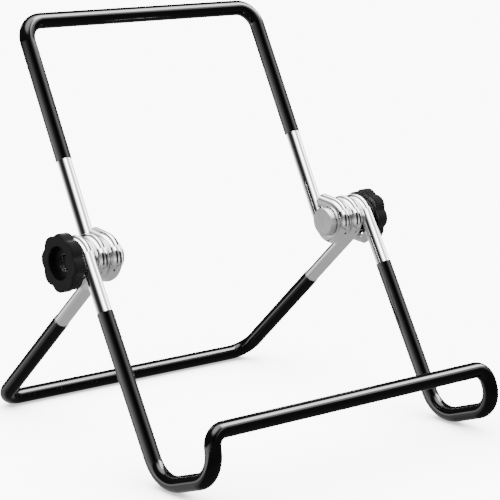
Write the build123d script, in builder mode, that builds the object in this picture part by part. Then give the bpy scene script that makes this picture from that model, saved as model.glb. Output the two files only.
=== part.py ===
from build123d import *
from math import cos, radians, sin, tan
import os

"""Folding wire tablet stand: three sleeved wire frames clamped on two knobbed shoulder bolts.

Millimetres, +Z up.  The desk is z = 0, the tablet faces -Y, and x = 0 is the plane of symmetry.
"""

os.makedirs("parts", exist_ok=True)

# Wire and sleeve
wire_radius = 2.75
sleeve_radius = 3.0
sleeve_bore_radius = 2.77

# Pivot shared by the three frames
pivot_y = 9.815
pivot_z = 70.8
eye_radius = 6.55
eye_turn = 235.0
tail_gap = 0.15
end_chamfer = 0.4
eye_pitch = 6.1
upper_half_width = 56.0
rear_half_width = upper_half_width + eye_pitch
front_half_width = rear_half_width + eye_pitch

# Upper frame, leaning back from the vertical
upper_lean = 29.7
upper_length = 95.3
upper_corner_radius = 8.2
upper_sleeve_start = 40.0

# Rear frame, whose bar lies on the desk
rear_lean = 45.1
rear_corner_radius = 8.4
rear_sleeve_start = 31.8

# Front frame: legs, hooks and lip bar
front_lean = 31.8
front_sleeve_start = 22.3
hook_tilt = 20.6
hook_run = 31.6
hook_heel_radius = 12.6
hook_toe_radius = 9.4
riser_length = 15.8
lip_inset = 1.7
lip_corner_radius = 6.0

# Bolts, seen from the middle of the stand outwards
head_radius = 5.6
head_inner_face = upper_half_width - 5.35
head_thickness = 2.45
head_chamfer = 0.45
shoulder_radius = 3.75
shoulder_end = rear_half_width + 2.9
stud_radius = 2.95
stud_tip_chamfer = 0.6

# Washers
washer_thickness = 0.5
washer_radius = 7.3
washer_bore_radius = 3.8
contact_gap = 0.05

# Knobs and their threaded inserts
clamp_face = front_half_width + wire_radius + contact_gap
knob_inner_face = clamp_face + washer_thickness + contact_gap
knob_thickness = 4.8
knob_lobes = 8
lobe_circle_radius = 6.3
lobe_radius = 4.5
knob_core_radius = 8.5
lobe_valley_radius = 1.6
knob_edge_radius = 0.7
pocket_radius = 6.15
pocket_depth = 2.6
pocket_edge_radius = 0.4
stud_window_radius = 3.3
insert_head_radius = 4.75
insert_head_length = 1.5
insert_nose_length = 4.8
insert_bore_radius = 3.0
insert_fit_gap = 0.02
stud_end = knob_inner_face + 1.0

# Local axes at the pivot: x towards the back, y up, z across the stand to its right side
pivot = Plane(origin=(0, pivot_y, pivot_z), x_dir=(0, 1, 0), z_dir=(1, 0, 0))


def polar(radius, angle, across=0.0):
    """Point at a radius and an angle (degrees from straight back, up positive) about the pivot."""
    return Vector(radius * cos(radians(angle)), radius * sin(radians(angle)), across)


def leg_point(heading, distance, across):
    """Point on a straight leg that leaves its eye at the given heading."""
    return polar(eye_radius, heading - 90, across) + polar(distance, heading)


def mirrored(points):
    """Local coordinates of the left half's points, then of their mirror images on the right."""
    right = [Vector(p.X, p.Y, -p.Z) for p in reversed(points)]
    return [tuple(p) for p in points + right]


def eye(heading, across):
    """Centre line of the loop at a leg's end: an arc round the bolt, then a tail back to the leg."""
    tail_angle = 270 - eye_turn
    rise = eye_radius * sin(radians(tail_angle)) + eye_radius
    reach = rise - wire_radius - wire_radius * sin(radians(tail_angle)) - tail_gap
    tail_start = polar(eye_radius, heading + tail_angle, across)
    tail_end = tail_start + polar(reach / cos(radians(tail_angle)), heading + tail_angle - 90)
    CenterArc((0, 0, across), eye_radius, heading - 90, -eye_turn)
    Line(tuple(tail_start), tuple(tail_end))


def frame_wire(points, radii, heading, half_width):
    """Centre line of a whole frame, from the left eye's tail to the right eye's tail."""
    start = leg_point(heading, 0, -half_width)
    with BuildLine(pivot) as line:
        FilletPolyline(*mirrored([start] + points), radius=radii)
        eye(heading, -half_width)
        eye(heading, half_width)
    return Wire(line.edges())


def sleeve_wire(points, radii, heading, half_width, sleeve_start):
    """Centre line of the part of a frame that its sleeve covers."""
    start = leg_point(heading, sleeve_start, -half_width)
    with BuildLine(pivot) as line:
        FilletPolyline(*mirrored([start] + points), radius=radii)
    return Wire(line.edges())


def across_path(path):
    """Plane square to the start of a path, for its section."""
    return Plane(origin=path @ 0, z_dir=path % 0)


def finish(builder, name):
    """Label a finished piece and write it as the node of that name."""
    builder.part.label = name
    export_step(builder.part, f"parts/{name}.step")


# Headings of the three frames, in degrees from straight back
upper_heading = 90 - upper_lean
rear_heading = rear_lean - 90
front_heading = -90 - front_lean

# Upper frame: two uprights and a top bar
upper_points = [leg_point(upper_heading, upper_length, -upper_half_width)]
upper_radii = [upper_corner_radius] * 2

# Rear frame: its bar's sleeve rests on the desk
rear_drop = pivot_z - sleeve_radius + eye_radius * sin(radians(rear_heading - 90))
rear_length = rear_drop / cos(radians(rear_lean))
rear_points = [leg_point(rear_heading, rear_length, -rear_half_width)]
rear_radii = [rear_corner_radius] * 2

# Front frame: the heel bend touches the desk, the run rises to the toe, the riser leans back
heel_turn = 90 - front_lean + hook_tilt
heel_offset = (eye_radius + hook_heel_radius) * sin(radians(front_heading - 90))
heel_centre_drop = pivot_z - sleeve_radius - hook_heel_radius
heel_tangent = hook_heel_radius * tan(radians(heel_turn / 2))
heel_distance = (heel_centre_drop + heel_offset) / cos(radians(front_lean)) + heel_tangent
heel = leg_point(front_heading, heel_distance, -front_half_width)
toe = heel + polar(hook_run, 180 - hook_tilt)
lip = toe + polar(riser_length, 90 - hook_tilt, lip_inset)
front_points = [heel, toe, lip]
hook_radii = [hook_heel_radius, hook_toe_radius, lip_corner_radius]
front_radii = hook_radii + list(reversed(hook_radii))

frames = {
    "upper_frame": (upper_points, upper_radii, upper_heading, upper_half_width, upper_sleeve_start),
    "rear_frame": (rear_points, rear_radii, rear_heading, rear_half_width, rear_sleeve_start),
    "front_frame": (front_points, front_radii, front_heading, front_half_width, front_sleeve_start),
}

for frame_name, (points, radii, heading, half_width, sleeve_start) in frames.items():
    wire_path = frame_wire(points, radii, heading, half_width)
    sleeve_path = sleeve_wire(points, radii, heading, half_width, sleeve_start)

    # Bright wire, bent from one length, with its cut ends chamfered
    with BuildPart() as frame:
        with BuildSketch(across_path(wire_path)):
            Circle(wire_radius)
        sweep(path=wire_path)
        end_faces = [frame.faces().sort_by_distance(wire_path @ end)[0] for end in (0, 1)]
        chamfer([face.edge() for face in end_faces], end_chamfer)
    finish(frame, f"{frame_name}_wire")

    # Plastic sleeve over the far part of the frame
    with BuildPart() as sleeve:
        with BuildSketch(across_path(sleeve_path)):
            Circle(sleeve_radius)
            Circle(sleeve_bore_radius, mode=Mode.SUBTRACT)
        sweep(path=sleeve_path)
    finish(sleeve, f"{frame_name}_sleeve")

for side, hand in ((-1, "left"), (1, "right")):
    # The bolt's axle line, pointing outwards from the middle of the stand
    axle = Plane(origin=(0, pivot_y, pivot_z), x_dir=(0, 1, 0), z_dir=(side, 0, 0))
    outwards = Axis(axle.origin, axle.z_dir)

    # Shoulder bolt: blank round head, shoulder through two eyes, stud for the knob
    with BuildPart() as bolt:
        with BuildSketch(axle.offset(head_inner_face)):
            Circle(head_radius)
        extrude(amount=head_thickness)
        chamfer(bolt.faces().sort_by(outwards)[0].edges(), head_chamfer)
        with BuildSketch(axle.offset(head_inner_face + head_thickness)):
            Circle(shoulder_radius)
        extrude(amount=shoulder_end - head_inner_face - head_thickness)
        with BuildSketch(axle.offset(shoulder_end)):
            Circle(stud_radius)
        extrude(amount=stud_end - shoulder_end)
        chamfer(bolt.faces().sort_by(outwards)[-1].edges(), stud_tip_chamfer)
    finish(bolt, f"bolt_{hand}")

    # Plain washers: one in each gap between eyes, and one under the knob
    gap_centre = eye_pitch / 2 - washer_thickness / 2
    washer_starts = {
        "inner_washer": upper_half_width + gap_centre,
        "outer_washer": rear_half_width + gap_centre,
        "clamp_washer": clamp_face,
    }
    for washer_name, washer_start in washer_starts.items():
        with BuildPart() as washer:
            with BuildSketch(axle.offset(washer_start)):
                Circle(washer_radius)
                Circle(washer_bore_radius, mode=Mode.SUBTRACT)
            extrude(amount=washer_thickness)
        finish(washer, f"{washer_name}_{hand}")

    # Lobed knob with a pocket in its outer face and a seat for the insert in its inner face
    with BuildPart() as knob:
        with BuildSketch(axle.offset(knob_inner_face)) as lobed:
            Circle(knob_core_radius)
            with PolarLocations(lobe_circle_radius, knob_lobes):
                Circle(lobe_radius)
            fillet(lobed.vertices(), lobe_valley_radius)
        extrude(amount=knob_thickness)
        fillet(knob.faces().sort_by(outwards)[-1].edges(), knob_edge_radius)
        fillet(knob.faces().sort_by(outwards)[0].edges(), knob_edge_radius)
        with BuildSketch(axle.offset(knob_inner_face + knob_thickness)):
            Circle(pocket_radius)
        extrude(amount=-pocket_depth, mode=Mode.SUBTRACT)
        pocket_rim = knob.faces().sort_by(outwards)[-1].inner_wires()[0].edges()
        fillet(pocket_rim, pocket_edge_radius)
        with BuildSketch(axle.offset(knob_inner_face)):
            Circle(stud_window_radius)
        extrude(amount=knob_thickness, mode=Mode.SUBTRACT)
        with BuildSketch(axle.offset(knob_inner_face)):
            Circle(insert_head_radius + insert_fit_gap)
        extrude(amount=insert_head_length + insert_fit_gap, mode=Mode.SUBTRACT)
    finish(knob, f"knob_{hand}")

    # Threaded insert: its head is moulded into the knob, its nose runs inside the front eye
    with BuildPart() as insert:
        with BuildSketch(axle.offset(knob_inner_face - insert_nose_length)):
            Circle(shoulder_radius)
        extrude(amount=insert_nose_length)
        with BuildSketch(axle.offset(knob_inner_face)):
            Circle(insert_head_radius)
        extrude(amount=insert_head_length)
        with BuildSketch(axle.offset(knob_inner_face - insert_nose_length)):
            Circle(insert_bore_radius)
        extrude(amount=insert_nose_length + insert_head_length, mode=Mode.SUBTRACT)
    finish(insert, f"knob_insert_{hand}")
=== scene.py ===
"""Looks of the folding wire tablet stand: plated wire, glossy vinyl sleeves, satin bolts, moulded knobs.

Metres, +Z up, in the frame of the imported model.  The desk is z = 0 and the tablet faces -Y.
"""

import math

import bmesh
import bpy
from mathutils import Matrix, Vector


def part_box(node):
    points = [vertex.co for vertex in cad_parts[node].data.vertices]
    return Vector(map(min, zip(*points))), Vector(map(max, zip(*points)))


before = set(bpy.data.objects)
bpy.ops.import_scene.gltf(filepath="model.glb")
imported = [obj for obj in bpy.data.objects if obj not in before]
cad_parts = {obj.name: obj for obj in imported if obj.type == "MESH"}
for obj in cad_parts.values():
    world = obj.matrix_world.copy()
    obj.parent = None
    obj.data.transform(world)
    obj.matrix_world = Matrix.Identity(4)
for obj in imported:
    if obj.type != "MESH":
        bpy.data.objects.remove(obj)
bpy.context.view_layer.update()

MM = 0.001
SIDES = ("left", "right")
FRAMES = ("upper_frame", "rear_frame", "front_frame")
WASHERS = ("inner_washer", "outer_washer", "clamp_washer")

# Pivot line, from the bolts' own boxes
bolt_low, bolt_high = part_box("bolt_right")
PIVOT = Vector((0, (bolt_low.y + bolt_high.y) / 2, (bolt_low.z + bolt_high.z) / 2))

# The bolts' studs, which the knobs screw onto, start this far from the middle of the stand
STUD_FROM = 65.0 * MM
# Past that the steel is given painted shade, standing in for the dark of the knob's pocket, over a soft edge
# of this width and in this colour
PAINTED_SHADE_EDGE = 0.5 * MM
PAINTED_SHADE_COLOUR = (0.045, 0.042, 0.04, 1)

# Camera: in front of the stand, to its left and a little above it
VIEW_TURN = math.radians(39.74)
VIEW_DROP = math.radians(13.33)
VIEW_ROLL = math.radians(1.24)
VIEW_DISTANCE = 0.7618
AIM_HEIGHT = 0.060
LENS = 144.0
SENSOR_WIDTH = 36.0
SHIFT = (0.0542, 0.0303)
NEAREST = 0.01
FARTHEST = 50.0

# Studio: a white desk that the camera alone sees, under a white room
WHITE = 10.0
FLOOR_RADIUS = 6.0
FLOOR_SIDES = 96
DESK_BASE = (0.02, 0.02, 0.02, 1)
DESK_GLOW = (1, 0.995, 1, 1)
SHADOW_REACH = 0.045
SHADOW_SAMPLES = 12
SHADOW_GLOW = 0.9
SHADOW_DARKEST = 0.35

# A tent of light stands round each family of material.  Its stripes run along the front legs: each stop is
# an angle in degrees about the legs' axis, 0 towards the camera and positive to its right, and a brightness
TENT_RADIUS = 3.0
TENT_STEP = 0.2
TENT_SUBDIVISIONS = 5
TENT_WHITE = 12.0
TENT_CURVE = 3.0
METAL_STOPS = (
    (-180, 12), (-150, 7), (-130, 3.9), (-115, 1.8), (-100, 0.75), (-78, 0.2), (-62, 0.05), (-44, 0.02),
    (-26, 0.035), (-10, 0.24), (2, 1.5), (16, 7.4), (30, 12), (42, 6), (60, 0.8), (86, 3), (106, 9),
    (122, 2.6), (137, 1.4), (155, 3), (180, 12))
VINYL_STOPS = (
    (-180, 0.2), (-143, 0.23), (-110, 1.0), (-89, 1.9), (-60, 1.3), (-41, 0.85), (-23, 0.3), (0, 0.08),
    (20, 0.03), (35, 0.05), (47, 0.23), (60, 0.85), (80, 1.9), (97, 1.0), (116, 0.35), (143, 0.18),
    (180, 0.2))
KNOB_STOPS = ((-180, 0.3), (-90, 0.35), (0, 0.25), (60, 0.35), (90, 0.9), (130, 0.4), (180, 0.3))

# The stripes fill a band across the legs' axis, between two soft edges: (outside, inside)
BAND_LOW = (-0.36, -0.28)
BAND_HIGH = (0.0, -0.08)

# Elsewhere the brightness goes by height, -1 to 1, times a share that goes from the left, -1, to the right, 1
METAL_HEIGHTS = (
    (-1, 0.45), (-0.5, 0.6), (-0.25, 0.9), (-0.1, 1.6), (0.06, 0.9), (0.2, 0.4), (0.36, 0.4), (0.5, 1.4),
    (0.62, 5), (0.8, 10), (1, 10))
METAL_SIDES = (
    (-1, 0.2), (-0.85, 0.5), (-0.6, 1), (-0.36, 1), (-0.2, 0.3), (-0.1, 0.03), (0.18, 0.03), (0.32, 0.5),
    (0.44, 1), (0.62, 1), (0.73, 0.3), (0.8, 0.02), (0.95, 0.02), (1, 0.3))
VINYL_HEIGHTS = ((-1, 0.06), (0, 0.06), (0.82, 0.08), (0.92, 2.5), (1, 4))
KNOB_HEIGHTS = ((-1, 0.25), (0, 0.3), (0.5, 0.5), (1, 0.9))
EVEN_SIDES = ((-1, 1), (1, 1))

# Overhead panel on the right, with soft edges: (outside, inside), the side edge in degrees
SOFTBOX_GLOW = 15.0
SOFTBOX_SIDE = (57.6, 75.6)
SOFTBOX_NEAR = (-0.28, -0.42)
SOFTBOX_FAR = (0.18, -0.10)

# Below the desk's level each tent reflects a grey desk instead, of its own brightness in front and behind
DESK_FADE = (-0.22, -0.48)
DESK_BEHIND = (0.30, 0.60)
METAL_DESK = (0.50, 0.65)
VINYL_DESK = (0.08, 0.6)
KNOB_DESK = (0.25, 0.25)

# Directions that the stripes are turned about
LEG_LEAN = math.radians(31.8)
LEG_AXIS = Vector((0, -math.sin(LEG_LEAN), -math.cos(LEG_LEAN)))
TO_CAMERA = Vector((-math.sin(VIEW_TURN) * math.cos(VIEW_DROP), -math.cos(VIEW_TURN) * math.cos(VIEW_DROP),
                    math.sin(VIEW_DROP)))
TOWARDS_VIEW = (TO_CAMERA - LEG_AXIS * TO_CAMERA.dot(LEG_AXIS)).normalized()
TO_THE_RIGHT = TOWARDS_VIEW.cross(LEG_AXIS)


# ---------------------------------------------------------------- shader helpers

NOISE_RANGE = (0.3, 0.7)


def new_material(name):
    """An empty node material with a Principled shader, and that shader."""
    material = bpy.data.materials.new(name)
    material.use_nodes = True
    return material, material.node_tree.nodes["Principled BSDF"]


def add_node(material, kind, **inputs):
    """A shader node of the given kind, with values for its named sockets."""
    node = material.node_tree.nodes.new(kind)
    for name, value in inputs.items():
        node.inputs[name.replace("_", " ")].default_value = value
    return node


def link(material, source, target):
    material.node_tree.links.new(source, target)


def object_coordinates(material):
    """The piece's own coordinates, in metres."""
    return material.node_tree.nodes.new("ShaderNodeTexCoord").outputs["Object"]


def noise(material, per_metre, detail):
    """Noise over the surface, with about so many features in a metre; most of it lies in NOISE_RANGE."""
    texture = add_node(material, "ShaderNodeTexNoise", Scale=per_metre, Detail=detail)
    link(material, object_coordinates(material), texture.inputs["Vector"])
    return texture.outputs["Fac"]


def map_range(material, value, low, high, from_low=NOISE_RANGE[0], from_high=NOISE_RANGE[1]):
    """A value between from_low and from_high spread over low to high."""
    node = material.node_tree.nodes.new("ShaderNodeMapRange")
    for name, number in (("From Min", from_low), ("From Max", from_high), ("To Min", low), ("To Max", high)):
        node.inputs[name].default_value = number
    link(material, value, node.inputs["Value"])
    return node.outputs["Result"]


def colour_between(material, value, dark, light):
    """A colour from dark to light as the value goes through NOISE_RANGE."""
    ramp = material.node_tree.nodes.new("ShaderNodeValToRGB")
    for element, place, colour in zip(ramp.color_ramp.elements, NOISE_RANGE, (dark, light)):
        element.position = place
        element.color = (*colour, 1)
    link(material, value, ramp.inputs["Fac"])
    return ramp.outputs["Color"]


def bump(material, shader, height, strength, depth):
    """Raise the surface by the height pattern, up to a depth in metres."""
    node = add_node(material, "ShaderNodeBump", Strength=strength, Distance=depth)
    link(material, height, node.inputs["Height"])
    link(material, node.outputs["Normal"], shader.inputs["Normal"])


def arithmetic(material, operation, first, second):
    """A Math node on two values, each a socket or a number."""
    node = material.node_tree.nodes.new("ShaderNodeMath")
    node.operation = operation
    for socket, value in zip(node.inputs, (first, second)):
        if isinstance(value, (int, float)):
            socket.default_value = value
        else:
            link(material, value, socket)
    return node.outputs["Value"]


def smooth_step(material, value, start, end):
    """0 at start, 1 at end, eased between them."""
    node = material.node_tree.nodes.new("ShaderNodeMapRange")
    node.interpolation_type = "SMOOTHSTEP"
    node.inputs["From Min"].default_value = start
    node.inputs["From Max"].default_value = end
    link(material, value, node.inputs["Value"])
    return node.outputs["Result"]


# ---------------------------------------------------------------- materials

def vary_surface(material, shader, tone, colours, haze, roughness, grain):
    """Vary a surface: its colour by tone, its roughness by haze, and its height by grain.

    tone and haze are (features in a metre, detail) of their noise, and grain is (features in a metre,
    detail, strength, depth).
    """
    link(material, colour_between(material, noise(material, *tone), *colours), shader.inputs["Base Color"])
    link(material, map_range(material, noise(material, *haze), *roughness), shader.inputs["Roughness"])
    per_metre, detail, strength, depth = grain
    bump(material, shader, noise(material, per_metre, detail), strength, depth)


def plated_wire():
    """Bright nickel-chrome over drawn wire: a mirror with a faint haze and ripple."""
    material, shader = new_material("plated_wire")
    shader.inputs["Metallic"].default_value = 1.0
    vary_surface(material, shader, tone=(60, 2.0), colours=((0.80, 0.80, 0.815), (0.88, 0.88, 0.89)),
                 haze=(420, 4.0), roughness=(0.03, 0.06), grain=(500, 1.0, 0.10, 0.01 * MM))
    return material


def vinyl_sleeve():
    """Glossy black vinyl drawn over the wire, with a very slight orange peel and handling haze."""
    material, shader = new_material("vinyl_sleeve")
    shader.inputs["Specular IOR Level"].default_value = 0.9
    shader.inputs["Coat Weight"].default_value = 0.25
    shader.inputs["Coat Roughness"].default_value = 0.03
    vary_surface(material, shader, tone=(90, 3.0), colours=((0.001, 0.001, 0.0011), (0.0018, 0.0018, 0.0019)),
                 haze=(260, 4.0), roughness=(0.05, 0.09), grain=(500, 1.0, 0.08, 0.01 * MM))
    return material


def moulded_knob():
    """Black nylon with a fine moulded grain, rubbed a little smoother on broad patches."""
    material, shader = new_material("moulded_knob")
    shader.inputs["Specular IOR Level"].default_value = 0.5
    vary_surface(material, shader, tone=(300, 4.0), colours=((0.007, 0.007, 0.0074), (0.012, 0.012, 0.0126)),
                 haze=(120, 2.0), roughness=(0.34, 0.48), grain=(5200, 3.0, 0.35, 0.04 * MM))
    return material


def with_painted_shade(material, colour, start):
    """The colour, with painted shade for the dark of the knob's pocket where the surface is further than
    start from the middle of the stand.
    """
    parts = material.node_tree.nodes.new("ShaderNodeSeparateXYZ")
    link(material, object_coordinates(material), parts.inputs["Vector"])
    distance = arithmetic(material, "ABSOLUTE", parts.outputs["X"], 0)
    blend = add_node(material, "ShaderNodeMixRGB", Color2=PAINTED_SHADE_COLOUR)
    link(material, smooth_step(material, distance, start, start + PAINTED_SHADE_EDGE), blend.inputs["Fac"])
    link(material, colour, blend.inputs["Color1"])
    return blend.outputs["Color"]


def turned_steel(name, roughness, rings, painted_shade_from=None):
    """Satin steel with concentric turning marks round the pivot line, and painted shade from a distance out.
    """
    material, shader = new_material(name)
    shader.inputs["Metallic"].default_value = 1.0
    tone = noise(material, per_metre=150, detail=3.0)
    colour = colour_between(material, tone, (0.60, 0.60, 0.61), (0.70, 0.70, 0.71))
    # Painted shade on the stud's end, which sits in the knob's dark pocket
    if painted_shade_from:
        colour = with_painted_shade(material, colour, painted_shade_from)
    link(material, colour, shader.inputs["Base Color"])
    shift = add_node(material, "ShaderNodeMapping", Location=(0, -PIVOT.y, -PIVOT.z))
    link(material, object_coordinates(material), shift.inputs["Vector"])
    wave = add_node(material, "ShaderNodeTexWave", Scale=rings, Distortion=0.6, Detail=2.0)
    wave.wave_type = "RINGS"
    wave.rings_direction = "X"
    link(material, shift.outputs["Vector"], wave.inputs["Vector"])
    marks = wave.outputs["Fac"]
    link(material, map_range(material, marks, roughness, roughness + 0.10, 0, 1), shader.inputs["Roughness"])
    bump(material, shader, marks, strength=0.15, depth=0.02 * MM)
    return material


# ---------------------------------------------------------------- pieces

def dress(node, material):
    """Give a CAD node its finish."""
    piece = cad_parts[node]
    if not piece.material_slots:
        piece.data.materials.append(material)
    for slot in piece.material_slots:
        slot.material = material


# ---------------------------------------------------------------- scene

def add_camera():
    """The camera, aimed above the pivot's foot, and level apart from a slight roll."""
    aim = Vector((0, PIVOT.y, AIM_HEIGHT))
    ahead = Vector((math.sin(VIEW_TURN) * math.cos(VIEW_DROP), math.cos(VIEW_TURN) * math.cos(VIEW_DROP),
                    -math.sin(VIEW_DROP)))
    level_right = Vector((math.cos(VIEW_TURN), -math.sin(VIEW_TURN), 0))
    level_up = level_right.cross(ahead)
    right = level_right * math.cos(VIEW_ROLL) + level_up * math.sin(VIEW_ROLL)
    up = right.cross(ahead)
    data = bpy.data.cameras.new("camera")
    data.lens = LENS
    data.sensor_width = SENSOR_WIDTH
    data.shift_x, data.shift_y = SHIFT
    data.clip_start, data.clip_end = NEAREST, FARTHEST
    camera = bpy.data.objects.new("camera", data)
    camera.matrix_world = Matrix((right, up, -ahead)).transposed().to_4x4()
    camera.location = aim - ahead * VIEW_DISTANCE
    bpy.context.scene.collection.objects.link(camera)
    bpy.context.scene.camera = camera


def add_floor():
    """A white desk top that runs on past every view, darkened softly where the stand shades it."""
    mesh = bpy.data.meshes.new("floor")
    edit = bmesh.new()
    bmesh.ops.create_circle(edit, cap_ends=True, segments=FLOOR_SIDES, radius=FLOOR_RADIUS)
    edit.to_mesh(mesh)
    edit.free()
    floor = bpy.data.objects.new("floor", mesh)
    material, shader = new_material("white_desk")
    shade = add_node(material, "ShaderNodeAmbientOcclusion", Distance=SHADOW_REACH)
    shade.samples = SHADOW_SAMPLES
    glow = map_range(material, shade.outputs["AO"], SHADOW_GLOW, WHITE, SHADOW_DARKEST, 1)
    shader.inputs["Base Color"].default_value = DESK_BASE
    shader.inputs["Specular IOR Level"].default_value = 0.0
    shader.inputs["Emission Color"].default_value = DESK_GLOW
    link(material, glow, shader.inputs["Emission Strength"])
    mesh.materials.append(material)
    mark_stage(floor)
    floor.visible_glossy = False
    floor.visible_diffuse = False


def mark_stage(piece):
    """Put a piece of the studio in the scene."""
    bpy.context.scene.collection.objects.link(piece)


def directions(material):
    """A direction: its angle round the legs in degrees, and its shares down them, up, back and right."""
    unit = material.node_tree.nodes.new("ShaderNodeVectorMath")
    unit.operation = "NORMALIZE"
    link(material, object_coordinates(material), unit.inputs[0])
    shares = []
    for axis in (TOWARDS_VIEW, TO_THE_RIGHT, LEG_AXIS, (0, 0, 1), (0, 1, 0), (1, 0, 0)):
        dot = material.node_tree.nodes.new("ShaderNodeVectorMath")
        dot.operation = "DOT_PRODUCT"
        link(material, unit.outputs["Vector"], dot.inputs[0])
        dot.inputs[1].default_value = axis
        shares.append(dot.outputs["Value"])
    turn = arithmetic(material, "ARCTAN2", shares[1], shares[0])
    return arithmetic(material, "DEGREES", turn, 0), *shares[2:]


def brightness_ramp(material, value, stops, lowest, highest):
    """The brightness at a value between lowest and highest, from (value, brightness) stops."""
    ramp = material.node_tree.nodes.new("ShaderNodeValToRGB")
    link(material, map_range(material, value, 0, 1, lowest, highest), ramp.inputs["Fac"])
    elements = ramp.color_ramp.elements
    while len(elements) < len(stops):
        elements.new(0.5)
    # Every place comes before any colour, because a new place can reorder the elements
    for element, (place, _) in zip(elements, stops):
        element.position = (place - lowest) / (highest - lowest)
    for element, (_, brightness) in zip(elements, stops):
        level = (brightness / TENT_WHITE) ** (1 / TENT_CURVE)
        element.color = (level, level, level, 1)
    level = arithmetic(material, "POWER", ramp.outputs["Color"], TENT_CURVE)
    return arithmetic(material, "MULTIPLY", level, TENT_WHITE)


def crossfade(material, share, first, second):
    """The second value where the share is 1, the first where it is 0."""
    rest = arithmetic(material, "SUBTRACT", 1, share)
    first = arithmetic(material, "MULTIPLY", first, rest)
    second = arithmetic(material, "MULTIPLY", second, share)
    return arithmetic(material, "ADD", first, second)


def tent_glow(material, stops, heights, sides, desk, softbox):
    """How bright a tent is in each direction from the stand."""
    angle, along, height, back, right = directions(material)
    stripes = brightness_ramp(material, angle, stops, -180, 180)
    layers = brightness_ramp(material, height, heights, -1, 1)
    layers = arithmetic(material, "MULTIPLY", layers, brightness_ramp(material, right, sides, -1, 1))
    low_side = smooth_step(material, along, *BAND_LOW)
    high_side = smooth_step(material, along, *BAND_HIGH)
    glow = crossfade(material, arithmetic(material, "MULTIPLY", low_side, high_side), layers, stripes)
    desk_glow = map_range(material, back, *desk, *DESK_BEHIND)
    glow = crossfade(material, smooth_step(material, height, *DESK_FADE), glow, desk_glow)
    if softbox:
        panel = arithmetic(material, "MULTIPLY", smooth_step(material, angle, *SOFTBOX_SIDE), softbox)
        for share, edge in ((along, SOFTBOX_NEAR), (back, SOFTBOX_FAR)):
            panel = arithmetic(material, "MULTIPLY", panel, smooth_step(material, share, *edge))
        glow = arithmetic(material, "ADD", glow, panel)
    return glow


def tent_material(name, *glow_settings):
    """A clear material that shines as brightly as tent_glow says."""
    material = bpy.data.materials.new(name)
    material.use_nodes = True
    material.node_tree.nodes.clear()
    material.cycles.emission_sampling = "NONE"
    emission = material.node_tree.nodes.new("ShaderNodeEmission")
    link(material, tent_glow(material, *glow_settings), emission.inputs["Strength"])
    clear = material.node_tree.nodes.new("ShaderNodeBsdfTransparent")
    both = material.node_tree.nodes.new("ShaderNodeAddShader")
    link(material, emission.outputs["Emission"], both.inputs[0])
    link(material, clear.outputs["BSDF"], both.inputs[1])
    output = material.node_tree.nodes.new("ShaderNodeOutputMaterial")
    link(material, both.outputs["Shader"], output.inputs["Surface"])
    return material


def add_tent(name, radius, pieces, stops, heights, sides, desk, softbox=0.0, diffuse=True):
    """A soft studio tent that lights only the given pieces.

    stops are (angle round the legs, brightness) inside the legs' band, and heights (height, brightness)
    and sides (side, share) outside it; desk is the brightness of the desk in front and behind; softbox is
    the brightness of the overhead panel.  A tent without diffuse light shows in reflections alone.
    """
    mesh = bpy.data.meshes.new(name)
    edit = bmesh.new()
    bmesh.ops.create_icosphere(edit, subdivisions=TENT_SUBDIVISIONS, radius=radius)
    edit.to_mesh(mesh)
    edit.free()
    mesh.polygons.foreach_set("use_smooth", [True] * len(mesh.polygons))
    mesh.materials.append(tent_material(name, stops, heights, sides, desk, softbox))
    tent = bpy.data.objects.new(name, mesh)
    tent.location = PIVOT
    tent.visible_camera = False
    tent.visible_shadow = False
    tent.visible_diffuse = diffuse
    mark_stage(tent)
    lit = bpy.data.collections.new(name + "_lit")
    for piece in pieces:
        lit.objects.link(piece)
    tent.light_linking.receiver_collection = lit


def add_room():
    """White beyond the desk's edge; all other light comes from the tents."""
    world = bpy.data.worlds.new("studio")
    world.use_nodes = True
    nodes = world.node_tree.nodes
    path = nodes.new("ShaderNodeLightPath")
    scale = nodes.new("ShaderNodeMath")
    scale.operation = "MULTIPLY"
    scale.inputs[1].default_value = WHITE
    world.node_tree.links.new(path.outputs["Is Camera Ray"], scale.inputs[0])
    world.node_tree.links.new(scale.outputs["Value"], nodes["Background"].inputs["Strength"])
    nodes["Background"].inputs["Color"].default_value = (1, 1, 1, 1)
    bpy.context.scene.world = world


wire = plated_wire()
sleeve = vinyl_sleeve()
# The bolt's stud gets painted shade where it reaches into the knob's pocket
bolt = turned_steel("satin_bolt", 0.30, 900, painted_shade_from=STUD_FROM)
washer = turned_steel("zinc_washer", 0.16, 700)
knob = moulded_knob()
insert = turned_steel("zinc_insert", 0.20, 800)

for name in FRAMES:
    dress(f"{name}_wire", wire)
    dress(f"{name}_sleeve", sleeve)
for hand in SIDES:
    dress(f"bolt_{hand}", bolt)
    for name in WASHERS:
        dress(f"{name}_{hand}", washer)
    dress(f"knob_{hand}", knob)
    dress(f"knob_insert_{hand}", insert)

knobs = [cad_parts[f"knob_{hand}"] for hand in SIDES]
vinyl = [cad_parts[f"{name}_sleeve"] for name in FRAMES]
metal = [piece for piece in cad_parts.values() if piece not in knobs + vinyl]

add_camera()
add_floor()
add_room()
add_tent("tent_for_metal", TENT_RADIUS, metal, METAL_STOPS, METAL_HEIGHTS, METAL_SIDES, METAL_DESK)
add_tent("tent_for_knobs", TENT_RADIUS + TENT_STEP, knobs, KNOB_STOPS, KNOB_HEIGHTS, EVEN_SIDES, KNOB_DESK)
add_tent("tent_for_vinyl", TENT_RADIUS + 2 * TENT_STEP, vinyl, VINYL_STOPS, VINYL_HEIGHTS, EVEN_SIDES,
         VINYL_DESK, softbox=SOFTBOX_GLOW, diffuse=False)
